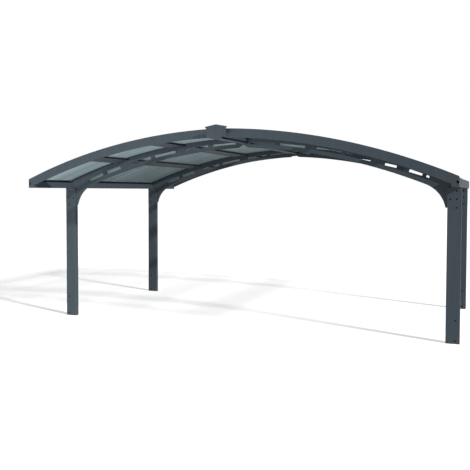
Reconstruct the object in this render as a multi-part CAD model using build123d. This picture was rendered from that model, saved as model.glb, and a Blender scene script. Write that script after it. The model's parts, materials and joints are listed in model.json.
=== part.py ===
from build123d import *
import math
import os

# Arched double carport: four posts carry two slotted arched ribs. Gutters, purlins and a ridge
# beam run front to back over them, and curved panels between arched fascias close the roof.
# Millimetres. X is the span, Y runs from front (-) to rear (+), Z is up from the ground.
# Roof heights count up from the post tops, and a drop is a depth below the roof's outer arc.

# Overall roof, over the gutters and over the fascias
span = 5760.0
length = 4940.0

# Posts
post_width = 171.0
post_depth = 72.0
post_wall = 3.0
post_corner = 6.0
post_row_y = 1462.0
post_top_z = 1977.0

# Roof arch: each half is one arc, and the two arcs meet at the ridge with a slight kink
eave_rise = 122.3
ridge_rise = 627.5
arch_shift = 133.0

# Ribs
rib_thickness = 20.0
rib_flange_outward = 53.0
rib_flange_inward = 97.0
rib_flange_thickness = 3.0
rib_depth_at_ridge = 186.9
rib_depth_at_gutter = 269.6
rib_low_shift = 270.0
notch_clearance = 10.0
joint_notch_half_width = 70.0
joint_notch_gap = 6.0

# Slots of a rib: inner end, outer end and height of each, on the rib's middle line. The inner
# ones count out from the ridge, and the outer ones count back from the gutter.
inner_slots = ((110.0, 455.0, 26.0), (525.0, 880.0, 30.0), (1035.0, 1370.0, 38.0), (1432.0, 1755.0, 40.0))
outer_slots = ((857.0, 623.0, 52.0), (557.0, 312.0, 50.0))
slot_level = 0.47
slot_corner = 8.0

# Knees and brackets
knee_radius = 398.0
knee_drop = 257.0
knee_tip_width = 21.0
knee_start_gap = 25.0
bracket_plate = 3.0
bracket_reach = 156.0

# Gutters
gutter_width = 85.0
gutter_height = 108.0
gutter_inner_height = 85.0
gutter_wall = 3.0
gutter_lip = 12.0
gutter_end_thickness = 12.0
outlet_width = 27.0
outlet_height = 42.0
outlet_rise = 60.0
outlet_edge_gap = 3.0
outlet_corner = 3.0
end_round = 16.0

# Panels and the cover over their lower edge
panel_drop = 50.0
panel_thickness = 6.0
panel_gap = 10.0
panel_end_clearance = 1.0
panel_gutter_lap = 40.0
cover_thickness = 3.0
eave_cover_width = 76.0

# Fascias
fascia_height = 113.0
fascia_depth = 100.0
fascia_wall = 3.0
fascia_return = 20.0

# Purlins, counted from the ridge: place of the middle, and width of flange and cover bar
purlins = (("upper", 981.0, 188.0), ("lower", 1890.0, 172.0))
purlin_depth = 30.0
purlin_stem_width = 44.0
purlin_wall = 3.0

# Ridge beam
ridge_beam_width = 120.0
ridge_beam_depth = 84.0
ridge_stem_width = 70.0
ridge_recess = 27.0
ridge_wall = 4.0
ridge_top_land = 6.0

# Ridge cap
cap_half_width = 72.0
cap_gable_rise = 12.0
cap_wall = 4.0

# End plates of the ridge, which stand in front of the fascias
ridge_end_reach = 100.0
ridge_end_thickness = 10.0
ridge_end_half_width = 132.0
ridge_end_brim = 14.0
ridge_end_brim_height = 15.0
ridge_end_gable_rise = 28.0
ridge_end_tongue_half_width = 76.0
ridge_end_tongue_lap = 5.0

os.makedirs("parts", exist_ok=True)

half_span = span / 2
front_y = -length / 2
big = 4 * span


def arc_through(shift, z_middle, x_end, z_end):
    """Radius and centre height of an arc centred at X = -shift, from its heights at X = 0 and x_end."""
    run = (x_end + shift) ** 2 - shift**2
    centre_z = (z_middle + z_end) / 2 - run / (2 * (z_middle - z_end))
    return math.hypot(shift, z_middle - centre_z), centre_z


def arc_z(radius, x):
    """Height above X of a circle round the centre of the roof arch, on the right half."""
    return arch_centre_z + math.sqrt(radius**2 - (x + arch_shift) ** 2)


def rib_low_z(x):
    """Height of a rib's lower edge above X, on the right half."""
    return rib_low_centre_z + math.sqrt(rib_low_radius**2 - (x + rib_low_shift) ** 2)


# Levels and lines worked out from the sizes
eave_z = post_top_z + eave_rise
ridge_z = eave_z + ridge_rise
roof_radius, arch_centre_z = arc_through(arch_shift, ridge_z, half_span, eave_z)
panel_under = roof_radius - panel_drop
panel_top = panel_under + panel_thickness
cover_top = panel_top + cover_thickness
purlin_low = panel_under - purlin_depth

post_inner_x = half_span - post_width
web_x = post_inner_x - bracket_plate
gutter_inner_x = half_span - gutter_width
gutter_top_z = post_top_z + gutter_height
gutter_inner_top_z = post_top_z + gutter_inner_height
knee_tip_z = post_top_z - knee_drop

rib_ridge_z = ridge_z - rib_depth_at_ridge
rib_gutter_z = arc_z(roof_radius, gutter_inner_x) - rib_depth_at_gutter
rib_low_radius, rib_low_centre_z = arc_through(rib_low_shift, rib_ridge_z, gutter_inner_x, rib_gutter_z)

end_back_y = front_y + gutter_end_thickness
panel_front_y = end_back_y + panel_end_clearance
fascia_back_y = front_y + fascia_wall
fascia_rear_y = front_y + fascia_depth
ridge_end_y = front_y - ridge_end_reach
ridge_end_back_y = ridge_end_y + ridge_end_thickness
rib_front_y = -post_row_y - rib_thickness / 2
rib_back_y = -post_row_y + rib_thickness / 2

ridge_beam_half = ridge_beam_width / 2
ridge_low_z = arc_z(panel_under, ridge_beam_half) - ridge_beam_depth
cap_eave_z = arc_z(roof_radius, cap_half_width)
cap_top_z = cap_eave_z + cap_gable_rise

ridge_end_low_z = arc_z(roof_radius - fascia_height, ridge_end_half_width)
tongue_low_z = ridge_low_z - ridge_end_tongue_lap
brim_half_width = ridge_end_half_width + ridge_end_brim
brim_eave_z = ridge_z + ridge_end_brim_height
brim_top_z = brim_eave_z + ridge_end_gable_rise


def disc(radius):
    """Round face about the centre of the roof arch, in the XZ drawing plane."""
    return Pos(-arch_shift, arch_centre_z) * Circle(radius)


def ring(r_in, r_out):
    """Annulus about the centre of the roof arch."""
    return disc(r_out) - disc(r_in)


def box2(x0, x1, z0, z1):
    """Rectangle in the XZ drawing plane, from its corners."""
    return Pos((x0 + x1) / 2, (z0 + z1) / 2) * Rectangle(x1 - x0, z1 - z0)


def at_radius_of(x_mid):
    """Placement at the arch centre whose upright runs along the radius through x_mid at panel level."""
    turn = math.degrees(math.asin((x_mid + arch_shift) / panel_under))
    return Pos(-arch_shift, arch_centre_z) * Rot(0, 0, -turn)


def radial_band(x_mid, width):
    """Long strip of the given width along the arch radius through x_mid."""
    return at_radius_of(x_mid) * Pos(0, roof_radius) * Rectangle(width, roof_radius)


def sector_beyond(x_mid, offset):
    """Everything on the outer side of the arch radius through x_mid, moved out by offset."""
    return at_radius_of(x_mid) * Pos(offset + big / 2, roof_radius) * Rectangle(big, roof_radius)


def extrude_y(face, y_front, y_back):
    """Solid from an XZ drawing, between two depths."""
    plane = Plane(origin=(0, y_back, 0), x_dir=(1, 0, 0), z_dir=(0, -1, 0))
    return extrude(plane * face, amount=y_back - y_front)


def save(shape, name):
    export_step(shape, f"parts/{name}.step")


def save_pair(shape, stem):
    """Right piece as drawn, left piece as its mirror image."""
    save(shape, f"{stem}_right")
    save(mirror(shape, about=Plane.YZ), f"{stem}_left")


def save_four(shape, stem):
    """Front right piece as drawn, the other three as mirror images."""
    save_pair(shape, f"{stem}_front")
    save_pair(mirror(shape, about=Plane.XZ), f"{stem}_rear")


def make_post():
    outer = RectangleRounded(post_width, post_depth, post_corner)
    inner = RectangleRounded(post_width - 2 * post_wall, post_depth - 2 * post_wall, post_corner - post_wall)
    place = Pos(half_span - post_width / 2, -post_row_y)
    return extrude(place * (outer - inner), amount=post_top_z)


def make_bracket():
    """Plates on three sides of the post head."""
    depth = post_depth + 2 * bracket_plate
    reach = bracket_plate + bracket_reach
    outer = Pos(web_x + reach / 2, -post_row_y) * Rectangle(reach, depth)
    inner = Pos(post_inner_x + big / 2, -post_row_y) * Rectangle(big, post_depth)
    return extrude(Plane.XY.offset(knee_tip_z) * (outer - inner), amount=post_top_z - knee_tip_z)


def rib_low_disc():
    return Pos(-rib_low_shift, rib_low_centre_z) * Circle(rib_low_radius)


def slot_face(x_in, x_out, height):
    """One rounded slot between two points of the rib's middle line."""
    z_in, z_out = (rib_low_z(x) + slot_level * (arc_z(panel_under, x) - rib_low_z(x)) for x in (x_in, x_out))
    slot_length = math.hypot(x_out - x_in, z_out - z_in)
    turn = math.degrees(math.atan2(z_out - z_in, x_out - x_in))
    outline = RectangleRounded(slot_length, height, slot_corner)
    return Pos((x_in + x_out) / 2, (z_in + z_out) / 2) * Rot(0, 0, turn) * outline


def make_rib():
    """Slotted web with a flange on top, wider inwards, notched round purlins and ridge beam.

    Below the ridge beam the two halves of a rib are cut back to a pointed notch.
    """
    room = box2(0, gutter_inner_x, 0, big) - box2(0, ridge_beam_half, ridge_low_z, big)
    for _, x_mid, width in purlins:
        room -= ring(purlin_low, roof_radius) & radial_band(x_mid, width + 2 * notch_clearance)
    web = (disc(panel_under) - rib_low_disc()) & room
    web -= box2(web_x, big, 0, post_top_z)
    apex = (0, ridge_low_z - joint_notch_gap)
    foot = (joint_notch_half_width, rib_low_z(joint_notch_half_width))
    below = (joint_notch_half_width, rib_ridge_z - joint_notch_half_width)
    web -= make_face(Polyline(apex, foot, below, (0, below[1]), close=True))
    for x_in, x_out, height in inner_slots:
        web -= slot_face(x_in, x_out, height)
    for back_in, back_out, height in outer_slots:
        web -= slot_face(gutter_inner_x - back_in, gutter_inner_x - back_out, height)
    flange = ring(panel_under - rib_flange_thickness, panel_under) & room
    body = extrude_y(web, rib_front_y, rib_back_y)
    body += extrude_y(flange, -post_row_y - rib_flange_outward, -post_row_y + rib_flange_inward)
    return body


def make_knee():
    """Curved gusset between post and rib, on an arc that runs into the rib's lower edge."""
    reach = rib_low_radius - knee_radius
    run = web_x - knee_tip_width + rib_low_shift
    rise = knee_tip_z - rib_low_centre_z
    tip_distance = math.hypot(run, rise)
    cosine = (tip_distance**2 + reach**2 - knee_radius**2) / (2 * tip_distance * reach)
    angle = math.atan2(rise, run) + math.acos(cosine)
    centre = Pos(-rib_low_shift + reach * math.cos(angle), rib_low_centre_z + reach * math.sin(angle))
    start_x = -rib_low_shift + rib_low_radius * math.cos(angle)
    face = rib_low_disc() - centre * Circle(knee_radius)
    face &= box2(start_x + knee_start_gap, web_x, knee_tip_z, big)
    return extrude_y(face, rib_front_y, rib_back_y)


def make_gutter():
    """Trough with a high outer wall, and a lip on its inner wall."""
    outer = box2(gutter_inner_x, half_span, post_top_z, gutter_top_z)
    hollow = box2(gutter_inner_x + gutter_wall, half_span - gutter_wall, post_top_z + gutter_wall, big)
    above = box2(gutter_inner_x - 1, half_span - gutter_wall, gutter_inner_top_z, big)
    lip_low_z = gutter_inner_top_z - gutter_wall
    lip = box2(gutter_inner_x, gutter_inner_x + gutter_lip, lip_low_z, gutter_inner_top_z)
    return extrude_y(outer - hollow - above + lip, end_back_y, -end_back_y)


def make_gutter_seal():
    """Strip that fills the gap between the gutter's inner lip and the panels."""
    face = disc(panel_under) & box2(gutter_inner_x, gutter_inner_x + gutter_lip, gutter_inner_top_z, big)
    return extrude_y(face, end_back_y, -end_back_y)


def make_gutter_end():
    """End plate that carries the fascia's arc on to the outer corner, with the overflow hole."""
    face = disc(roof_radius) & box2(gutter_inner_x, half_span, post_top_z, big)
    corner = face.vertices().group_by(Axis.X)[-1].sort_by(Axis.Y)[-1]
    face = fillet(corner, end_round)
    hole = RectangleRounded(outlet_width, outlet_height, outlet_corner)
    face -= Pos(half_span - outlet_edge_gap - outlet_width / 2, post_top_z + outlet_rise) * hole
    return extrude_y(face, front_y, end_back_y)


def make_fascia():
    """Arched web with a top flange that laps over the panels and a short return below."""
    limits = box2(cap_half_width, gutter_inner_x, 0, big)
    low = roof_radius - fascia_height
    web = ring(low, roof_radius) & limits
    bottom = ring(low, low + fascia_wall) & limits
    top = ring(roof_radius - fascia_wall, roof_radius) & limits
    lip = ring(panel_top, roof_radius) & limits
    body = extrude_y(web, front_y, fascia_back_y)
    body += extrude_y(bottom, fascia_back_y, fascia_back_y + fascia_return)
    body += extrude_y(top, fascia_back_y, fascia_rear_y)
    body += extrude_y(lip, fascia_rear_y - fascia_wall, fascia_rear_y)
    return body


def make_purlin(x_mid, width):
    """Wide flange below, box stem under the panels, and a cover bar of the flange's width on top."""
    flange = ring(purlin_low, purlin_low + purlin_wall) & radial_band(x_mid, width)
    stem = ring(purlin_low, panel_under) & radial_band(x_mid, purlin_stem_width)
    bore = ring(purlin_low + purlin_wall, panel_under - purlin_wall)
    bore &= radial_band(x_mid, purlin_stem_width - 2 * purlin_wall)
    tongue = ring(panel_under - purlin_wall, cover_top) & radial_band(x_mid, panel_gap)
    cover = ring(panel_top, cover_top) & radial_band(x_mid, width)
    under = flange + stem - bore
    inner = extrude_y(under + tongue + cover, fascia_rear_y, -fascia_rear_y)
    end = extrude_y(under + (tongue & disc(panel_top)), fascia_back_y, fascia_rear_y)
    return inner + end + mirror(end, about=Plane.XZ)


def make_ridge_beam():
    """Wide box under the panels, a narrower stem below it and a bottom flange."""
    stem_half = ridge_stem_width / 2
    step_z = ridge_low_z + ridge_recess
    right = disc(panel_under) & box2(0, ridge_beam_half, step_z, big)
    right -= disc(panel_under - ridge_wall) & box2(-1, ridge_beam_half - ridge_wall, step_z + ridge_wall, big)
    right += box2(0, stem_half, ridge_low_z, step_z)
    right -= box2(-1, stem_half - ridge_wall, ridge_low_z + ridge_wall, step_z - 1)
    right += box2(0, ridge_beam_half, ridge_low_z, ridge_low_z + ridge_wall)
    right += disc(panel_top) & box2(0, panel_gap / 2, arc_z(panel_under, 0) - ridge_top_land, big)
    body = extrude_y(right, ridge_end_back_y, -ridge_end_back_y)
    return body + mirror(body, about=Plane.YZ)


def make_panel(x_inner, x_outer):
    """Curved sheet between two purlins, or out to the ridge or into the gutter."""
    if x_inner > 0:
        face = ring(panel_under, panel_top) & sector_beyond(x_inner, panel_gap / 2)
    else:
        face = ring(panel_under, panel_top) & box2(panel_gap / 2, big, 0, big)
    if x_outer < gutter_inner_x:
        face -= sector_beyond(x_outer, -panel_gap / 2)
    else:
        face &= box2(0, x_outer, 0, big)
    return extrude_y(face, panel_front_y, -panel_front_y)


def make_eave_cover():
    """Bar over the lower edge of the lower panel, between the fascias."""
    x_outer = half_span - panel_gutter_lap
    face = ring(panel_top, cover_top) & box2(x_outer - eave_cover_width, x_outer, 0, big)
    return extrude_y(face, fascia_rear_y, -fascia_rear_y)


def gable_face(half_width, low_z, edge_z, top_z):
    """Right half of a gabled outline: a wall from low_z to edge_z, and a slope up to top_z."""
    return make_face(Polyline((0, low_z), (half_width, low_z), (half_width, edge_z), (0, top_z), (0, low_z)))


def make_ridge_cap():
    """Gabled cover whose side walls stand on the panels, between the two rows of fascias."""
    slope = cap_gable_rise / cap_half_width
    inner_half = cap_half_width - cap_wall
    inner_top_z = cap_top_z - cap_wall * math.hypot(1, slope)
    face = gable_face(cap_half_width, post_top_z, cap_eave_z, cap_top_z)
    face -= gable_face(inner_half, post_top_z, inner_top_z - slope * inner_half, inner_top_z)
    body = extrude_y(face - disc(panel_top), ridge_end_back_y, -ridge_end_back_y)
    return body + mirror(body, about=Plane.YZ)


def make_ridge_end():
    """Plate over the end of the ridge, with a gabled brim above and a tongue over the beam's end."""
    face = box2(0, ridge_end_half_width, ridge_end_low_z, brim_eave_z)
    face += box2(0, ridge_end_tongue_half_width, tongue_low_z, brim_eave_z)
    face += gable_face(brim_half_width, ridge_z, brim_eave_z, brim_top_z)
    body = extrude_y(face, ridge_end_y, ridge_end_back_y)
    return body + mirror(body, about=Plane.YZ)


save_four(make_post(), "post")
save_four(make_bracket(), "bracket")
save_four(make_rib(), "rib")
save_four(make_knee(), "knee")
save_four(make_gutter_end(), "gutter_end")
save_four(make_fascia(), "fascia")
save_pair(make_gutter(), "gutter")
save_pair(make_gutter_seal(), "gutter_seal")
save_pair(make_eave_cover(), "eave_cover")
for purlin_name, purlin_x, purlin_width in purlins:
    save_pair(make_purlin(purlin_x, purlin_width), f"purlin_{purlin_name}")
panel_edges = (0.0, *(x for _, x, _ in purlins), half_span - panel_gutter_lap)
for panel_name, edge_in, edge_out in zip(("upper", "middle", "lower"), panel_edges, panel_edges[1:]):
    save_pair(make_panel(edge_in, edge_out), f"panel_{panel_name}")
save(make_ridge_beam(), "ridge_beam")
save(make_ridge_cap(), "ridge_cap")
ridge_end = make_ridge_end()
save(ridge_end, "ridge_end_front")
save(mirror(ridge_end, about=Plane.XZ), "ridge_end_rear")
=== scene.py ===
"""Looks of an arched double carport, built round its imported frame.

All lengths are in metres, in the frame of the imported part: X is the span, Y runs from
front to rear and Z is up from the ground.
"""

import json
import logging
import math
from dataclasses import dataclass
from enum import Enum
from typing import Any

import bpy
import numpy as np
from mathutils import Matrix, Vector


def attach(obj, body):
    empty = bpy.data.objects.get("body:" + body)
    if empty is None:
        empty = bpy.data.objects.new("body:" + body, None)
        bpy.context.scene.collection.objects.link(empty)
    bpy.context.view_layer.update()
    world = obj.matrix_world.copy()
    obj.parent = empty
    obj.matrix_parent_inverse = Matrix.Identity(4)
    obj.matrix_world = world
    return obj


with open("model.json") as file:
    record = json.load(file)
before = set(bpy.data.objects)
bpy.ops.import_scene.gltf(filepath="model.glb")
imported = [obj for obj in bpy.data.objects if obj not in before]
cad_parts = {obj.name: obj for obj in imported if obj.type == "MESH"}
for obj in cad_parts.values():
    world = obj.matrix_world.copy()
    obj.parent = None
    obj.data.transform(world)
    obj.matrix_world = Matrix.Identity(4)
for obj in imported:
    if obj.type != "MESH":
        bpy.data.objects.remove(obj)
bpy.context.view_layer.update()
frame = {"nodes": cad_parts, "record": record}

log = logging.getLogger("carport")

Rgb = tuple[float, float, float]
Point = tuple[float, float, float]
Span = tuple[float, float]
Shell = tuple[np.ndarray, np.ndarray]

WHITE: Rgb = (1.0, 1.0, 1.0)
NUMBER = "NodeSocketFloat"
COLOUR = "NodeSocketColor"

# Sockets of a node that mixes colours, by number because several share a name.
MIX_SHARE = 0
MIX_FIRST = 6
MIX_SECOND = 7
MIX_RESULT = 2

# Distance of each row of posts from the middle of the carport, along Y.
ROW_Y = 1.462


class Slot(Enum):
    """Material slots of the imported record."""

    POST = "post_coating"
    ROOF = "roof_coating"
    SHEET = "smoked_polycarbonate"
    SEAL = "seal_rubber"


class Side(Enum):
    """The two sides of the carport, with the sign of their X."""

    LEFT = -1
    RIGHT = 1


class Row(Enum):
    """The two rows of posts, with the sign of their Y."""

    FRONT = -1
    REAR = 1


def rgba(colour: Rgb) -> tuple[float, float, float, float]:
    """Adds full opacity to a colour."""
    return (*colour, 1.0)


@dataclass
class Graph:
    """A node tree with short ways to add nodes and links."""

    tree: bpy.types.NodeTree

    def node(self, kind: str, **settings: Any) -> bpy.types.Node:
        """Adds a node and sets its properties.

        Args:
            kind: Blender's name of the node type.
            **settings: Properties of the node, by name.

        Returns:
            The new node.
        """
        node = self.tree.nodes.new(kind)
        for name, value in settings.items():
            setattr(node, name, value)
        return node

    def feed(self, source: Any, target: bpy.types.NodeSocket) -> None:
        """Links a socket to another, or writes a plain value on it.

        Args:
            source: A socket or a plain value.
            target: The input that takes it.
        """
        if isinstance(source, bpy.types.NodeSocket):
            self.tree.links.new(source, target)
        else:
            target.default_value = source

    def object_place(self) -> bpy.types.NodeSocket:
        """Gives the place of a point in the object's own coordinates."""
        return self.node("ShaderNodeTexCoord").outputs["Object"]

    def along(self, axis: str, vector: Any) -> bpy.types.NodeSocket:
        """Takes one coordinate out of a vector.

        Args:
            axis: Name of the axis, X, Y or Z.
            vector: The vector's socket.

        Returns:
            The coordinate.
        """
        node = self.node("ShaderNodeSeparateXYZ")
        self.feed(vector, node.inputs[0])
        return node.outputs[axis]

    def math(self, operation: str, first: Any, second: Any = 0.0) -> bpy.types.NodeSocket:
        """Takes one step of arithmetic.

        Args:
            operation: Blender's name of the step.
            first: First socket or number.
            second: Second socket or number, where the step needs one.

        Returns:
            The result.
        """
        node = self.node("ShaderNodeMath", operation=operation)
        self.feed(first, node.inputs[0])
        self.feed(second, node.inputs[1])
        return node.outputs[0]

    def product(self, first: Any, *factors: Any) -> bpy.types.NodeSocket:
        """Multiplies sockets and numbers.

        Args:
            first: First socket or number.
            *factors: The sockets or numbers that multiply it.

        Returns:
            The product.
        """
        for factor in factors:
            first = self.math("MULTIPLY", first, factor)
        return first

    def ramp(self, value: Any, low: float, high: float,
             to_low: Any = 0.0, to_high: Any = 1.0) -> bpy.types.NodeSocket:
        """Maps low..high to to_low..to_high, held at both ends.

        Args:
            value: The value to map.
            low: Value that becomes to_low.
            high: Value that becomes to_high.
            to_low: Result at low.
            to_high: Result at high.

        Returns:
            The result.
        """
        node = self.node("ShaderNodeMapRange")
        self.feed(value, node.inputs["Value"])
        self.feed(low, node.inputs["From Min"])
        self.feed(high, node.inputs["From Max"])
        self.feed(to_low, node.inputs["To Min"])
        self.feed(to_high, node.inputs["To Max"])
        return node.outputs["Result"]

    def blend(self, share: Any, first: Any, second: Any) -> bpy.types.NodeSocket:
        """Mixes two colours.

        Args:
            share: Share of the second colour.
            first: First colour.
            second: Second colour.

        Returns:
            The mixed colour.
        """
        node = self.node("ShaderNodeMix", data_type="RGBA")
        self.feed(share, node.inputs[MIX_SHARE])
        self.feed(first, node.inputs[MIX_FIRST])
        self.feed(second, node.inputs[MIX_SECOND])
        return node.outputs[MIX_RESULT]

    def noise(self, place: Any, scale: Any, detail: float = 2.0,
              roughness: float = 0.5) -> bpy.types.NodeSocket:
        """Adds a noise.

        Args:
            place: Where the noise is read.
            scale: Waves in a metre.
            detail: Number of finer layers.
            roughness: Weight of the finer layers.

        Returns:
            The noise, mostly between 0.3 and 0.7.
        """
        node = self.node("ShaderNodeTexNoise")
        self.feed(place, node.inputs["Vector"])
        self.feed(scale, node.inputs["Scale"])
        self.feed(detail, node.inputs["Detail"])
        self.feed(roughness, node.inputs["Roughness"])
        return node.outputs["Fac"]

    def stretched(self, place: Any, stretch: Point) -> bpy.types.NodeSocket:
        """Multiplies a place by one factor along each axis.

        Args:
            place: The place's socket.
            stretch: The three factors.

        Returns:
            The new place.
        """
        node = self.node("ShaderNodeVectorMath", operation="MULTIPLY")
        self.feed(place, node.inputs[0])
        self.feed(stretch, node.inputs[1])
        return node.outputs[0]


class EffectGroup:
    """A shader node group, made once.

    An input is given as name, kind and value, and an output as name and kind.
    """

    name: str = ""
    inputs: tuple[tuple[str, str, Any], ...] = ()
    outputs: tuple[tuple[str, str], ...] = ()

    def __init__(self) -> None:
        """Makes the group's sockets and fills it."""
        self.tree = bpy.data.node_groups.new(self.name, "ShaderNodeTree")
        for name, kind, value in self.inputs:
            socket = self.tree.interface.new_socket(name, in_out="INPUT", socket_type=kind)
            socket.default_value = value
        for name, kind in self.outputs:
            self.tree.interface.new_socket(name, in_out="OUTPUT", socket_type=kind)
        graph = Graph(self.tree)
        source = graph.node("NodeGroupInput")
        sink = graph.node("NodeGroupOutput")
        self.fill(graph, source, sink)

    def fill(self, graph: Graph, source: bpy.types.Node, sink: bpy.types.Node) -> None:
        """Builds the inside of the group.

        Args:
            graph: The group's graph.
            source: The node that gives the group's inputs.
            sink: The node that takes the group's outputs.
        """
        raise NotImplementedError

    def place(self, graph: Graph, **values: Any) -> bpy.types.Node:
        """Puts the group into a material.

        Args:
            graph: The material's graph.
            **values: Values or sockets for the inputs, with underscores for spaces.

        Returns:
            The group node.
        """
        node = graph.node("ShaderNodeGroup", node_tree=self.tree)
        for name, value in values.items():
            graph.feed(value, node.inputs[name.replace("_", " ")])
        return node


class PowderGrain(EffectGroup):
    """Orange peel of a sprayed and baked coat: fine bumps and small changes of gloss."""

    name = "powder_grain"
    inputs = (("Grain Size", NUMBER, 0.0016), ("Gloss Change", NUMBER, 0.06))
    outputs = (("Height", NUMBER), ("Roughness Shift", NUMBER))
    patch_scale = 9.0

    def fill(self, graph: Graph, source: bpy.types.Node, sink: bpy.types.Node) -> None:
        """Height is a noise of the grain's size, and the gloss changes in patches.

        Args:
            graph: The group's graph.
            source: The node that gives the group's inputs.
            sink: The node that takes the group's outputs.
        """
        place = graph.object_place()
        frequency = graph.math("DIVIDE", 1.0, source.outputs["Grain Size"])
        patches = graph.noise(place, self.patch_scale, detail=3.0)
        shift = graph.product(graph.math("SUBTRACT", patches, 0.5), source.outputs["Gloss Change"])
        graph.feed(graph.noise(place, frequency, detail=1.0), sink.inputs["Height"])
        graph.feed(shift, sink.inputs["Roughness Shift"])


class OutdoorFilm(EffectGroup):
    """Thin film of outdoor dust: on top faces, in runs down the sides and splashed near the ground."""

    name = "outdoor_film"
    inputs = (
        ("Colour", COLOUR, (0.05, 0.07, 0.08, 1.0)),
        ("Dust", COLOUR, (0.22, 0.21, 0.19, 1.0)),
        ("On Top", NUMBER, 0.15),
        ("Runs", NUMBER, 0.03),
        ("Splash", NUMBER, 0.08),
        ("Splash Height", NUMBER, 0.25),
    )
    outputs = (("Colour", COLOUR), ("Film", NUMBER))
    patch_scale = 5.0
    patch_edges = (0.38, 0.68)
    top_slopes = (0.55, 0.95)
    run_stretch = (22.0, 22.0, 0.9)
    run_edges = (0.45, 0.75)
    speckle_scale = 60.0
    speckle_edges = (0.42, 0.62)

    def fill(self, graph: Graph, source: bpy.types.Node, sink: bpy.types.Node) -> None:
        """The film is the largest of three masks, and the dust colour is mixed in by it.

        Args:
            graph: The group's graph.
            source: The node that gives the group's inputs.
            sink: The node that takes the group's outputs.
        """
        place = graph.object_place()
        facing = graph.along("Z", graph.node("ShaderNodeNewGeometry").outputs["Normal"])
        patches = graph.noise(place, self.patch_scale, detail=4.0, roughness=0.6)
        patches = graph.ramp(patches, *self.patch_edges)
        top = graph.product(graph.ramp(facing, *self.top_slopes), patches, source.outputs["On Top"])
        streams = graph.noise(graph.stretched(place, self.run_stretch), 1.0, detail=3.0)
        runs = graph.product(graph.ramp(streams, *self.run_edges), source.outputs["Runs"])
        rise = graph.math("DIVIDE", graph.along("Z", place), source.outputs["Splash Height"])
        speckle = graph.noise(place, self.speckle_scale, detail=3.0, roughness=0.7)
        speckle = graph.ramp(speckle, *self.speckle_edges)
        low = graph.ramp(rise, 0.0, 1.0, 1.0, 0.0)
        splash = graph.product(low, speckle, source.outputs["Splash"])
        film = graph.math("MAXIMUM", graph.math("MAXIMUM", top, runs), splash)
        dusted = graph.blend(film, source.outputs["Colour"], source.outputs["Dust"])
        graph.feed(dusted, sink.inputs["Colour"])
        graph.feed(film, sink.inputs["Film"])


class SheetFlutes(EffectGroup):
    """Thin webs inside a twin-wall roof sheet, which run along the arch, and its long faint streaks."""

    name = "sheet_flutes"
    inputs = (("Pitch", NUMBER, 0.016), ("Web Share", NUMBER, 0.2))
    outputs = (("Webs", NUMBER), ("Streaks", NUMBER))
    streak_stretch = (0.55, 9.0, 0.55)
    streak_edges = (0.37, 0.63)

    def fill(self, graph: Graph, source: bpy.types.Node, sink: bpy.types.Node) -> None:
        """A web is where the place along Y, in pitches, is near a whole number.

        Args:
            graph: The group's graph.
            source: The node that gives the group's inputs.
            sink: The node that takes the group's outputs.
        """
        place = graph.object_place()
        pitches = graph.math("DIVIDE", graph.along("Y", place), source.outputs["Pitch"])
        away = graph.math("ABSOLUTE", graph.math("SUBTRACT", graph.math("FRACT", pitches), 0.5))
        half = graph.math("SUBTRACT", 0.5, graph.product(source.outputs["Web Share"], 0.5))
        stretched = graph.stretched(place, self.streak_stretch)
        streaks = graph.noise(stretched, 1.0, detail=4.0, roughness=0.6)
        graph.feed(graph.math("GREATER_THAN", away, half), sink.inputs["Webs"])
        graph.feed(graph.ramp(streaks, *self.streak_edges), sink.inputs["Streaks"])


@dataclass(frozen=True)
class Finish:
    """Name and specular level of a material, and the steps that the finishes share."""

    name: str
    specular: float

    def start(self) -> tuple[bpy.types.Material, Graph, bpy.types.Node]:
        """Makes the bare material.

        Returns:
            The material, its graph and its shader.
        """
        material = bpy.data.materials.new(self.name)
        material.use_nodes = True
        shader = material.node_tree.nodes["Principled BSDF"]
        shader.inputs["Specular IOR Level"].default_value = self.specular
        return material, Graph(material.node_tree), shader

    def emboss(self, graph: Graph, shader: bpy.types.Node, height: Any, depth: float) -> None:
        """Feeds a height through a Bump node to the shader's normal.

        Args:
            graph: The material's graph.
            shader: The shader that shows the relief.
            height: Mask of the height, from 0 to 1.
            depth: Height of the relief where the mask is 1.
        """
        bump = graph.node("ShaderNodeBump")
        bump.inputs["Distance"].default_value = depth
        graph.feed(height, bump.inputs["Height"])
        graph.feed(bump.outputs["Normal"], shader.inputs["Normal"])


@dataclass(frozen=True)
class CoatFinish(Finish):
    """Satin powder coat on aluminium profiles, duller where dust lies."""

    colour: Rgb
    roughness: float
    splash: float = 0.0
    on_top: float = 0.12
    grain_size: float = 0.0016
    grain_depth: float = 0.00003
    gloss_change: float = 0.08
    dust_dullness: float = 0.5

    def build(self, grain: PowderGrain, film: OutdoorFilm) -> bpy.types.Material:
        """Makes the material.

        Args:
            grain: The orange peel group.
            film: The dust group.

        Returns:
            The material.
        """
        material, graph, shader = self.start()
        peel = grain.place(graph, Grain_Size=self.grain_size, Gloss_Change=self.gloss_change)
        dusty = film.place(graph, Colour=rgba(self.colour), On_Top=self.on_top, Splash=self.splash)
        graph.feed(dusty.outputs["Colour"], shader.inputs["Base Color"])
        rough = graph.math("ADD", peel.outputs["Roughness Shift"], self.roughness)
        rough = graph.math("ADD", rough, graph.product(dusty.outputs["Film"], self.dust_dullness))
        graph.feed(rough, shader.inputs["Roughness"])
        self.emboss(graph, shader, peel.outputs["Height"], self.grain_depth)
        return material


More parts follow.
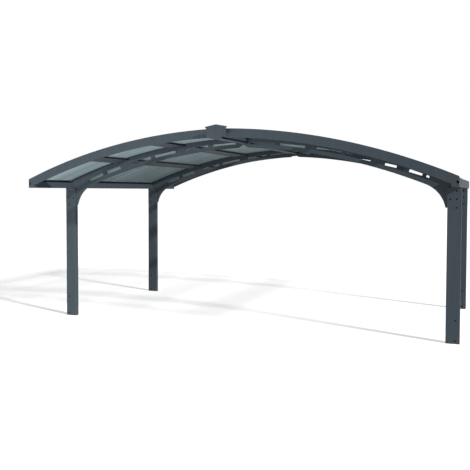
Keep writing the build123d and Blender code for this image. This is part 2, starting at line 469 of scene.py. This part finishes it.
@dataclass(frozen=True)
class SheetFinish(Finish):
    """Smoked twin-wall polycarbonate.

    The camera sees the sheet nearly opaque. Light that reaches other surfaces through it loses
    the share veil, or bounced_veil once that light has bounced.
    """

    colour: Rgb
    streak_colour: Rgb
    opacity: float
    veil: float
    bounced_veil: float
    roughness: float
    on_top: float = 0.10
    flute_pitch: float = 0.016
    web_share: float = 0.2
    web_opacity: float = 0.02
    web_depth: float = 0.00008
    streak_opacity: float = 0.01
    streak_roughness: Span = (-0.04, 0.06)

    def build(self, flutes: SheetFlutes, film: OutdoorFilm) -> bpy.types.Material:
        """Makes the material.

        Args:
            flutes: The group of webs and streaks.
            film: The dust group.

        Returns:
            The material.
        """
        material, graph, shader = self.start()
        lines = flutes.place(graph, Pitch=self.flute_pitch, Web_Share=self.web_share)
        webs = lines.outputs["Webs"]
        streaks = lines.outputs["Streaks"]
        tint = graph.blend(streaks, rgba(self.colour), rgba(self.streak_colour))
        dusty = film.place(graph, Colour=tint, On_Top=self.on_top, Runs=0.0, Splash=0.0)
        graph.feed(dusty.outputs["Colour"], shader.inputs["Base Color"])
        low_rough, high_rough = (self.roughness + change for change in self.streak_roughness)
        graph.feed(graph.ramp(streaks, 0.0, 1.0, low_rough, high_rough), shader.inputs["Roughness"])
        opacity = graph.ramp(webs, 0.0, 1.0, self.opacity, self.opacity + self.web_opacity)
        clearing = graph.ramp(streaks, 0.0, 1.0, self.streak_opacity, -self.streak_opacity)
        opacity = graph.math("ADD", opacity, clearing)
        path = graph.node("ShaderNodeLightPath")
        veiled = graph.math("MAXIMUM", path.outputs["Is Shadow Ray"], path.outputs["Is Diffuse Ray"])
        veil = graph.ramp(path.outputs["Diffuse Depth"], 0.0, 1.0, self.veil, self.bounced_veil)
        graph.feed(graph.ramp(veiled, 0.0, 1.0, opacity, veil), shader.inputs["Alpha"])
        self.emboss(graph, shader, webs, self.web_depth)
        return material


@dataclass(frozen=True)
class RubberFinish(Finish):
    """Matt black sealing rubber with a faint pale bloom."""

    colour: Rgb = (0.006, 0.009, 0.012)
    roughness: float = 0.7
    grain_size: float = 0.004
    grain_depth: float = 0.0001
    gloss_change: float = 0.2
    bloom_scale: float = 14.0
    bloom_edges: Span = (0.4, 0.8)
    bloom_share: float = 0.3
    bloom_paleness: float = 2.2

    def build(self, grain: PowderGrain) -> bpy.types.Material:
        """Makes the material.

        Args:
            grain: The group of fine bumps.

        Returns:
            The material.
        """
        material, graph, shader = self.start()
        peel = grain.place(graph, Grain_Size=self.grain_size, Gloss_Change=self.gloss_change)
        patches = graph.noise(graph.object_place(), self.bloom_scale)
        bloom = graph.ramp(patches, *self.bloom_edges, 0.0, self.bloom_share)
        pale = tuple(self.bloom_paleness * value for value in self.colour)
        graph.feed(graph.blend(bloom, rgba(self.colour), rgba(pale)), shader.inputs["Base Color"])
        rough = graph.math("ADD", peel.outputs["Roughness Shift"], self.roughness)
        graph.feed(rough, shader.inputs["Roughness"])
        self.emboss(graph, shader, peel.outputs["Height"], self.grain_depth)
        return material


@dataclass(frozen=True)
class ScrewFinish(Finish):
    """Blackened steel of the screws, slightly paler in rubbed spots."""

    colour: Rgb = (0.008, 0.012, 0.017)
    rubbed: Rgb = (0.035, 0.042, 0.050)
    roughness: float = 0.4
    grain_size: float = 0.0008
    grain_depth: float = 0.00005
    gloss_change: float = 0.3
    wear_scale: float = 400.0
    wear_edges: Span = (0.55, 0.75)
    wear_share: float = 0.5

    def build(self, grain: PowderGrain) -> bpy.types.Material:
        """Makes the material.

        Args:
            grain: The group of fine bumps.

        Returns:
            The material.
        """
        material, graph, shader = self.start()
        peel = grain.place(graph, Grain_Size=self.grain_size, Gloss_Change=self.gloss_change)
        spots = graph.noise(graph.object_place(), self.wear_scale, detail=3.0)
        worn = graph.product(graph.ramp(spots, *self.wear_edges), self.wear_share)
        graph.feed(graph.blend(worn, rgba(self.colour), rgba(self.rubbed)), shader.inputs["Base Color"])
        rough = graph.math("ADD", peel.outputs["Roughness Shift"], self.roughness)
        graph.feed(rough, shader.inputs["Roughness"])
        self.emboss(graph, shader, peel.outputs["Height"], self.grain_depth)
        return material


@dataclass
class Palette:
    """The finish of each material slot, and that of the screws."""

    post: CoatFinish = CoatFinish(
        "post_coat", specular=0.08, colour=(0.0375, 0.0490, 0.0580), roughness=0.5, splash=0.06)
    roof: CoatFinish = CoatFinish(
        "roof_coat", specular=0.03, colour=(0.0380, 0.0485, 0.0570), roughness=0.55)
    sheet: SheetFinish = SheetFinish(
        "smoked_sheet", specular=0.001, colour=(0.235, 0.303, 0.311), streak_colour=(0.362, 0.432, 0.436),
        opacity=0.96, veil=0.06, bounced_veil=0.7, roughness=0.3)
    seal: RubberFinish = RubberFinish("seal_rubber", specular=0.04)
    screw: ScrewFinish = ScrewFinish("blackened_screw", specular=0.06)

    def build(self) -> dict[str, bpy.types.Material]:
        """Makes the shared groups and every material.

        Returns:
            The materials by slot name, and the screws' under the name screw.
        """
        grain = PowderGrain()
        film = OutdoorFilm()
        flutes = SheetFlutes()
        return {
            Slot.POST.value: self.post.build(grain, film),
            Slot.ROOF.value: self.roof.build(grain, film),
            Slot.SHEET.value: self.sheet.build(flutes, film),
            Slot.SEAL.value: self.seal.build(grain),
            "screw": self.screw.build(grain),
        }


def mesh_object(name: str, shell: Shell, material: bpy.types.Material) -> bpy.types.Object:
    """Makes an object at the origin from arrays of points and four-cornered faces.

    Args:
        name: Name of the piece.
        shell: Places of the corners, one row each, and four corner numbers for each face.
        material: Finish of the piece.

    Returns:
        The object, linked to the scene.
    """
    points, faces = shell
    mesh = bpy.data.meshes.new(name)
    mesh.vertices.add(len(points))
    mesh.vertices.foreach_set("co", np.asarray(points, dtype=np.float32).ravel())
    mesh.loops.add(faces.size)
    mesh.loops.foreach_set("vertex_index", np.asarray(faces, dtype=np.int32).ravel())
    mesh.polygons.add(len(faces))
    mesh.polygons.foreach_set("loop_start", np.arange(0, faces.size, 4, dtype=np.int32))
    mesh.polygons.foreach_set("loop_total", np.full(len(faces), 4, dtype=np.int32))
    mesh.update(calc_edges=True)
    mesh.validate()
    mesh.materials.append(material)
    obj = bpy.data.objects.new(name, mesh)
    bpy.context.scene.collection.objects.link(obj)
    return obj


def joined(shells: list[Shell]) -> Shell:
    """Joins shells into one, raising each one's corner numbers by the points before it.

    Args:
        shells: Points and faces of each shell.

    Returns:
        Points and faces of them all.
    """
    counts = [len(points) for points, _ in shells]
    starts = np.cumsum([0] + counts[:-1])
    faces = [own + start for (_, own), start in zip(shells, starts)]
    return np.concatenate([points for points, _ in shells]), np.concatenate(faces)


def grid_faces(rows: int, columns: int) -> np.ndarray:
    """Corner numbers of the faces between neighbouring points of a grid of closed rings.

    Args:
        rows: Number of rings.
        columns: Points round each ring.

    Returns:
        Four corner numbers in each row.
    """
    i, j = np.meshgrid(np.arange(rows - 1), np.arange(columns), indexing="ij")
    here = i * columns
    above = here + columns
    k = (j + 1) % columns
    return np.stack((here + j, here + k, above + k, above + j), -1).reshape(-1, 4)


def disc_faces(columns: int) -> np.ndarray:
    """Corner numbers of the strips that fill a ring, each between a pair of steps and its mirror.

    Args:
        columns: Points round the ring, an even number.

    Returns:
        Four corner numbers in each row, in the ring's own direction.
    """
    k = np.arange(columns // 2 - 1)
    return np.stack((k, k + 1, columns - 2 - k, columns - 1 - k), -1)


@dataclass
class ScrewSet:
    """Pan-head screws of one post, on its front and back faces, as one joined mesh.

    A head is a profile turned round the screw's axis: radius and height of each ring go from the
    rim of the washer up over a quarter ellipse to a hollow of six lobes in the middle.
    """

    side: Side
    row: Row
    material: bpy.types.Material
    head_radius: float = 0.0085
    washer_radius: float = 0.0115
    washer_height: float = 0.0016
    washer_bevel: float = 0.0004
    head_height: float = 0.0052
    dome_rings: int = 6
    crown_share: float = 1.35
    drive_radius: float = 0.0034
    drive_depth: float = 0.0030
    drive_middle: float = 0.0004
    lobes: int = 6
    lobe_swing: float = 0.16
    around: int = 24
    foot_places: tuple[Span, ...] = ((2.823, 0.040), (2.823, 0.299))
    bracket_places: tuple[Span, ...] = ((2.822, 1.932), (2.822, 1.832), (2.822, 1.725), (2.745, 1.828))
    half_depth: float = 0.036
    bracket_plate: float = 0.003

    def head(self) -> Shell:
        """One head on the XY plane, with its axis along +Z.

        Returns:
            Points and faces. Ring r has radius R(r) and height H(r), and in the drive the
            radius swings six times round as R * (1 + lobe_swing * cos(6 * turn)).
        """
        bulge = np.linspace(0.0, math.pi / 2, self.dome_rings)
        crown = self.drive_radius * self.crown_share
        dome_radius = crown + (self.head_radius - crown) * np.cos(bulge)
        dome_height = self.washer_height + (self.head_height - self.washer_height) * np.sin(bulge)
        washer_radius = [
            self.washer_radius / 2, self.washer_radius, self.washer_radius,
            self.washer_radius - self.washer_bevel]
        washer_height = [0.0, 0.0, self.washer_height - self.washer_bevel, self.washer_height]
        drive_radius = [self.drive_radius, self.drive_radius, self.drive_middle]
        drive_floor = self.head_height - self.drive_depth
        drive_height = [self.head_height, drive_floor, drive_floor]
        radius = np.concatenate((washer_radius, dome_radius, drive_radius))
        height = np.concatenate((washer_height, dome_height, drive_height))
        swing = np.zeros(len(radius))
        drive_wall = slice(-3, -1)
        swing[drive_wall] = self.lobe_swing
        turn = np.linspace(0.0, 2 * math.pi, self.around, endpoint=False)
        r = radius[:, None] * (1.0 + swing[:, None] * np.cos(self.lobes * turn))
        h = np.repeat(height[:, None], self.around, axis=1)
        points = np.stack((r * np.cos(turn), r * np.sin(turn), h), -1).reshape(-1, 3)
        disc = disc_faces(self.around)
        last_ring = len(points) - self.around
        faces = (grid_faces(len(radius), self.around), disc[:, ::-1], disc + last_ring)
        return points, np.concatenate(faces)

    def build(self) -> bpy.types.Object:
        """Sets a head on each place, front and back, and joins them.

        Returns:
            The joined piece.
        """
        points, faces = self.head()
        places = [(x, z, self.half_depth) for x, z in self.foot_places]
        places += [(x, z, self.half_depth + self.bracket_plate) for x, z in self.bracket_places]
        heads = []
        for x, z, out in places:
            for face in (-1, 1):
                turned = np.stack((face * -points[:, 0], face * points[:, 2], points[:, 1]), -1)
                centre = np.array((self.side.value * x, self.row.value * ROW_Y + face * out, z))
                heads.append((turned + centre, faces))
        name = f"screws_{self.row.name.lower()}_{self.side.name.lower()}"
        obj = mesh_object(name, joined(heads), self.material)
        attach(obj, "root")
        log.info("%s: %d heads", name, len(heads))
        return obj


@dataclass
class SealAndShadeTapes:
    """Black rubber tapes that lie under the roof sheets, along the gutter and beside each rib. They are
    seal rubber, and they also paint the shade of the dark gaps there.

    A tape is a block bent along the roof arch. At the place x, a corner of radius r has the
    height z = arch_centre + sqrt(r ** 2 - (x + arch_shift) ** 2).
    """

    side: Side
    material: bpy.types.Material
    arch_shift: float = 0.133
    crown_height: float = 2.7268
    eave_height: float = 2.0993
    half_span: float = 2.880
    sheet_drop: float = 0.0501
    thickness: float = 0.003
    steps: int = 16
    rib_edges: tuple[Span, ...] = ((-0.075, -0.053), (0.097, 0.119))
    sheet_runs: tuple[Span, ...] = ((0.062, 0.886), (1.076, 1.803), (1.977, 2.764))
    gutter_run: Span = (2.765, 2.795)
    gutter_parts: tuple[Span, ...] = ((-2.440, -1.540), (-1.340, 1.340), (1.540, 2.440))

    def bent_block(self, x_ends: Span, y_ends: Span) -> Shell:
        """One tape between two places along X and two along Y.

        The arch goes through its crown at the ridge and through its eave at half_span, and its
        centre lies arch_shift beyond the ridge.

        Args:
            x_ends: Inner and outer place, counted from the ridge.
            y_ends: Front and rear place.

        Returns:
            Points, four at each step along the arch, and faces.
        """
        run = (self.half_span + self.arch_shift) ** 2 - self.arch_shift**2
        middle = (self.crown_height + self.eave_height) / 2
        arch_centre = middle - run / (2 * (self.crown_height - self.eave_height))
        under = math.hypot(self.arch_shift, self.crown_height - arch_centre) - self.sheet_drop
        x = np.repeat(np.linspace(*x_ends, self.steps), 4)
        y = np.tile((y_ends[0], y_ends[1], y_ends[1], y_ends[0]), self.steps)
        radius = under - np.tile((self.thickness, self.thickness, 0.0, 0.0), self.steps)
        z = arch_centre + np.sqrt(radius**2 - (x + self.arch_shift) ** 2)
        first_end = np.array(((0, 3, 2, 1),))
        last_end = np.array(((0, 1, 2, 3),)) + 4 * (self.steps - 1)
        faces = np.concatenate((grid_faces(self.steps, 4), first_end, last_end))
        if self.side is Side.LEFT:
            faces = faces[:, ::-1]
        return np.stack((self.side.value * x, y, z), -1), faces

    def build(self) -> bpy.types.Object:
        """Makes every tape of this side and joins them.

        Returns:
            The joined piece.
        """
        places = [(self.gutter_run, part) for part in self.gutter_parts]
        for row in Row:
            for edges in self.rib_edges:
                y_ends = sorted(row.value * (ROW_Y - edge) for edge in edges)
                places += [(run, y_ends) for run in self.sheet_runs]
        # Each black tape is partly seal rubber and partly painted shade for the gap beside the gutter or
        # rib.
        tapes = [self.bent_block(x_ends, y_ends) for x_ends, y_ends in places]
        name = f"seal_and_shade_tapes_{self.side.name.lower()}"
        obj = mesh_object(name, joined(tapes), self.material)
        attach(obj, "root")
        log.info("%s: %d tapes", name, len(tapes))
        return obj


@dataclass
class Dressing:
    """Gives every node of the frame the finish of its slot."""

    materials: dict[str, bpy.types.Material]

    def build(self) -> None:
        """Clears each node's material and appends its finish."""
        slots = {row["node"]: row["material_slot"] for row in frame["record"]["subparts"]}
        for name, obj in frame["nodes"].items():
            obj.data.materials.clear()
            obj.data.materials.append(self.materials[slots[name]])
            log.info("%s: %s", name, slots[name])


@dataclass
class Studio:
    """Floor, lamps, world and the camera of the photograph.

    Turn and dip of the camera are in radians, and the spreads of the suns in degrees. The
    floor has a sun of its own, so that the shadows on it are soft and pale.
    """

    camera_place: Point = (3.1605, -11.0366, 1.9269)
    camera_turn: float = 0.3879
    camera_dip: float = 0.0424
    focal_pixels: float = 715.35
    picture_side: float = 470.0
    centre_pixel: Span = (193.71, 221.74)
    sensor: float = 36.0
    view_reach: float = 200.0
    sun_from: Point = (0.814, -0.373, 0.444)
    sun_strength: float = 4.4
    sun_spread: float = 1.6
    floor_sun_strength: float = 19.0
    floor_sun_spread: float = 6.0
    fill_place: Point = (-1.4, -5.8, 0.45)
    fill_aim: Point = (-1.6, -1.5, 2.0)
    fill_size: Span = (4.0, 0.8)
    fill_power: float = 230.0
    sky_level: float = 0.46
    floor_half_side: float = 90.0
    floor_bounce: Rgb = (0.108, 0.119, 0.134)
    floor_seen: Rgb = (0.20, 0.20, 0.20)
    floor_glow: float = 0.57

    def camera(self) -> None:
        """Places the camera where the photograph was taken from."""
        data = bpy.data.cameras.new("camera")
        data.sensor_width = self.sensor
        data.lens = self.focal_pixels * self.sensor / self.picture_side
        data.shift_x = 0.5 - self.centre_pixel[0] / self.picture_side
        data.shift_y = self.centre_pixel[1] / self.picture_side - 0.5
        data.clip_end = self.view_reach
        obj = bpy.data.objects.new("camera", data)
        obj.location = self.camera_place
        obj.rotation_euler = (math.pi / 2 - self.camera_dip, 0.0, self.camera_turn)
        bpy.context.scene.collection.objects.link(obj)
        bpy.context.scene.camera = obj

    def sun(self, name: str, strength: float, spread: float, lit: list[bpy.types.Object]) -> None:
        """Adds a sun that lights only the given objects.

        Args:
            name: Name of the lamp.
            strength: Light on a surface that faces it.
            spread: Angle that the sun fills, in degrees.
            lit: The objects that it lights.
        """
        data = bpy.data.lights.new(name, "SUN")
        data.energy = strength
        data.angle = math.radians(spread)
        obj = bpy.data.objects.new(name, data)
        obj.rotation_euler = Vector(self.sun_from).to_track_quat("Z", "Y").to_euler()
        bpy.context.scene.collection.objects.link(obj)
        group = bpy.data.collections.new(f"{name}_lit")
        for piece in lit:
            group.objects.link(piece)
        obj.light_linking.receiver_collection = group

    def fill(self) -> None:
        """Adds a low wide lamp in front, aimed up at the underside of the left half."""
        data = bpy.data.lights.new("fill", "AREA")
        data.shape = "RECTANGLE"
        data.size, data.size_y = self.fill_size
        data.energy = self.fill_power
        obj = bpy.data.objects.new("fill", data)
        obj.location = self.fill_place
        aim = Vector(self.fill_aim) - Vector(self.fill_place)
        obj.rotation_euler = aim.to_track_quat("-Z", "Y").to_euler()
        obj.visible_camera = False
        bpy.context.scene.collection.objects.link(obj)

    def seen_rays(self, graph: Graph) -> bpy.types.NodeSocket:
        """Tells the rays that show a surface from those that only light something.

        Args:
            graph: The graph of the world or of the floor.

        Returns:
            One for camera, glossy and transmission rays, and zero for the rest.
        """
        path = graph.node("ShaderNodeLightPath")
        seen = graph.math("MAXIMUM", path.outputs["Is Camera Ray"], path.outputs["Is Glossy Ray"])
        return graph.math("MAXIMUM", seen, path.outputs["Is Transmission Ray"])

    def world(self) -> None:
        """Makes the world white where it is seen, and a plain level as light."""
        world = bpy.data.worlds.new("world")
        bpy.context.scene.world = world
        world.use_nodes = True
        world.node_tree.nodes.clear()
        graph = Graph(world.node_tree)
        back = graph.node("ShaderNodeBackground")
        back.inputs["Color"].default_value = rgba(WHITE)
        strength = graph.ramp(self.seen_rays(graph), 0.0, 1.0, self.sky_level, 1.0)
        graph.feed(strength, back.inputs["Strength"])
        out = graph.node("ShaderNodeOutputWorld")
        graph.feed(back.outputs[0], out.inputs["Surface"])

    def floor(self) -> bpy.types.Object:
        """Makes a wide floor that looks nearly white, keeps the shadow and bounces little light.

        Returns:
            The floor's object.
        """
        s = self.floor_half_side
        mesh = bpy.data.meshes.new("floor")
        mesh.from_pydata([(-s, -s, 0.0), (s, -s, 0.0), (s, s, 0.0), (-s, s, 0.0)], [], [(0, 1, 2, 3)])
        obj = bpy.data.objects.new("floor", mesh)
        bpy.context.scene.collection.objects.link(obj)
        material, graph, shader = Finish("floor", specular=0.0).start()
        shader.inputs["Roughness"].default_value = 1.0
        seen = self.seen_rays(graph)
        tint = graph.blend(seen, rgba(self.floor_bounce), rgba(self.floor_seen))
        graph.feed(tint, shader.inputs["Base Color"])
        shader.inputs["Emission Color"].default_value = rgba(WHITE)
        graph.feed(graph.product(seen, self.floor_glow), shader.inputs["Emission Strength"])
        mesh.materials.append(material)
        return obj

    def build(self, pieces: list[bpy.types.Object]) -> None:
        """Sets the colour view and builds everything.

        Args:
            pieces: The objects of the carport.
        """
        bpy.context.scene.view_settings.view_transform = "Standard"
        self.camera()
        self.world()
        floor = self.floor()
        self.sun("sun", self.sun_strength, self.sun_spread, pieces)
        self.sun("floor_sun", self.floor_sun_strength, self.floor_sun_spread, [floor])
        self.fill()


def main() -> None:
    """Builds the scene."""
    logging.basicConfig(level=logging.INFO, format="%(message)s")
    materials = Palette().build()
    Dressing(materials).build()
    pieces = list(frame["nodes"].values())
    pieces += [ScrewSet(side, row, materials["screw"]).build() for side in Side for row in Row]
    # Black strips under the sheets: seal rubber that also paints the shade of the gaps beside the gutter
    # and the ribs.
    pieces += [SealAndShadeTapes(side, materials[Slot.SEAL.value]).build() for side in Side]
    Studio().build(pieces)


if __name__ == "__main__":
    main()
